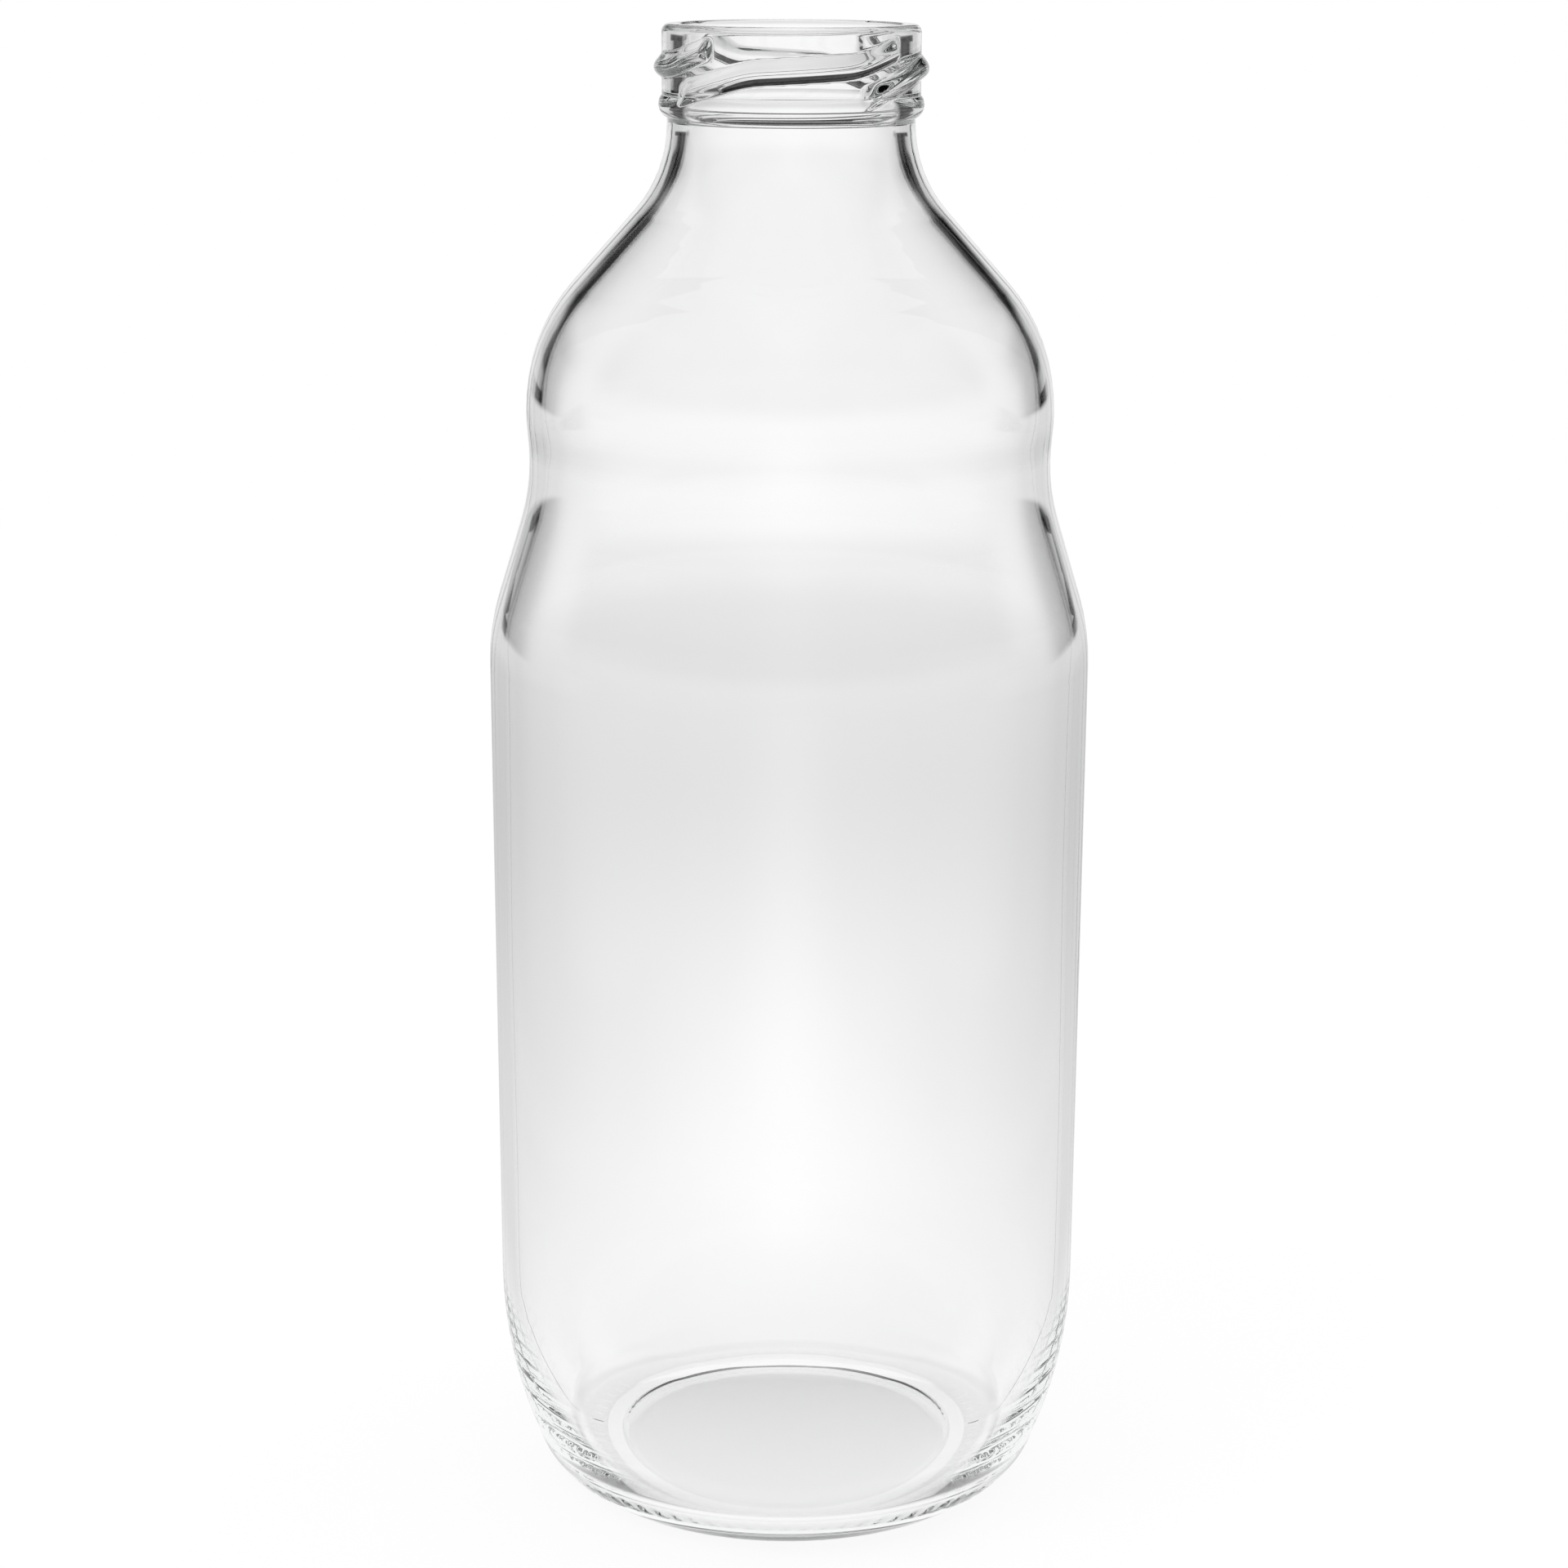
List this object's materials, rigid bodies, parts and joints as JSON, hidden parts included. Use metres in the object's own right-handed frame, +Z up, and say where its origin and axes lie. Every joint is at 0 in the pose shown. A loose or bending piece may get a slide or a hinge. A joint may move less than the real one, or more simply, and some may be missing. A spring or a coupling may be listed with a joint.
{
  "type": "glass milk bottle",
  "caption": "Clear glass milk bottle with a wide twist-off mouth, flared neck, domed shoulder, soft waist, straight barrel and rounded heel on a hollow base.",
  "frame": {"origin": "on the floor under the middle of the base", "axes": "+Z up along the bottle's axis, out of the mouth; -Y is the side the picture shows"},
  "size_m": [0.0952, 0.0952, 0.236],
  "materials": {
    "clear_glass": "fire-polished clear flint glass"
  },
  "bodies": {
    "root": {"neck_finish": "clear_glass", "shoulder": "clear_glass", "barrel": "clear_glass", "heel": "clear_glass", "base": "clear_glass"}
  },
  "joints": []
}
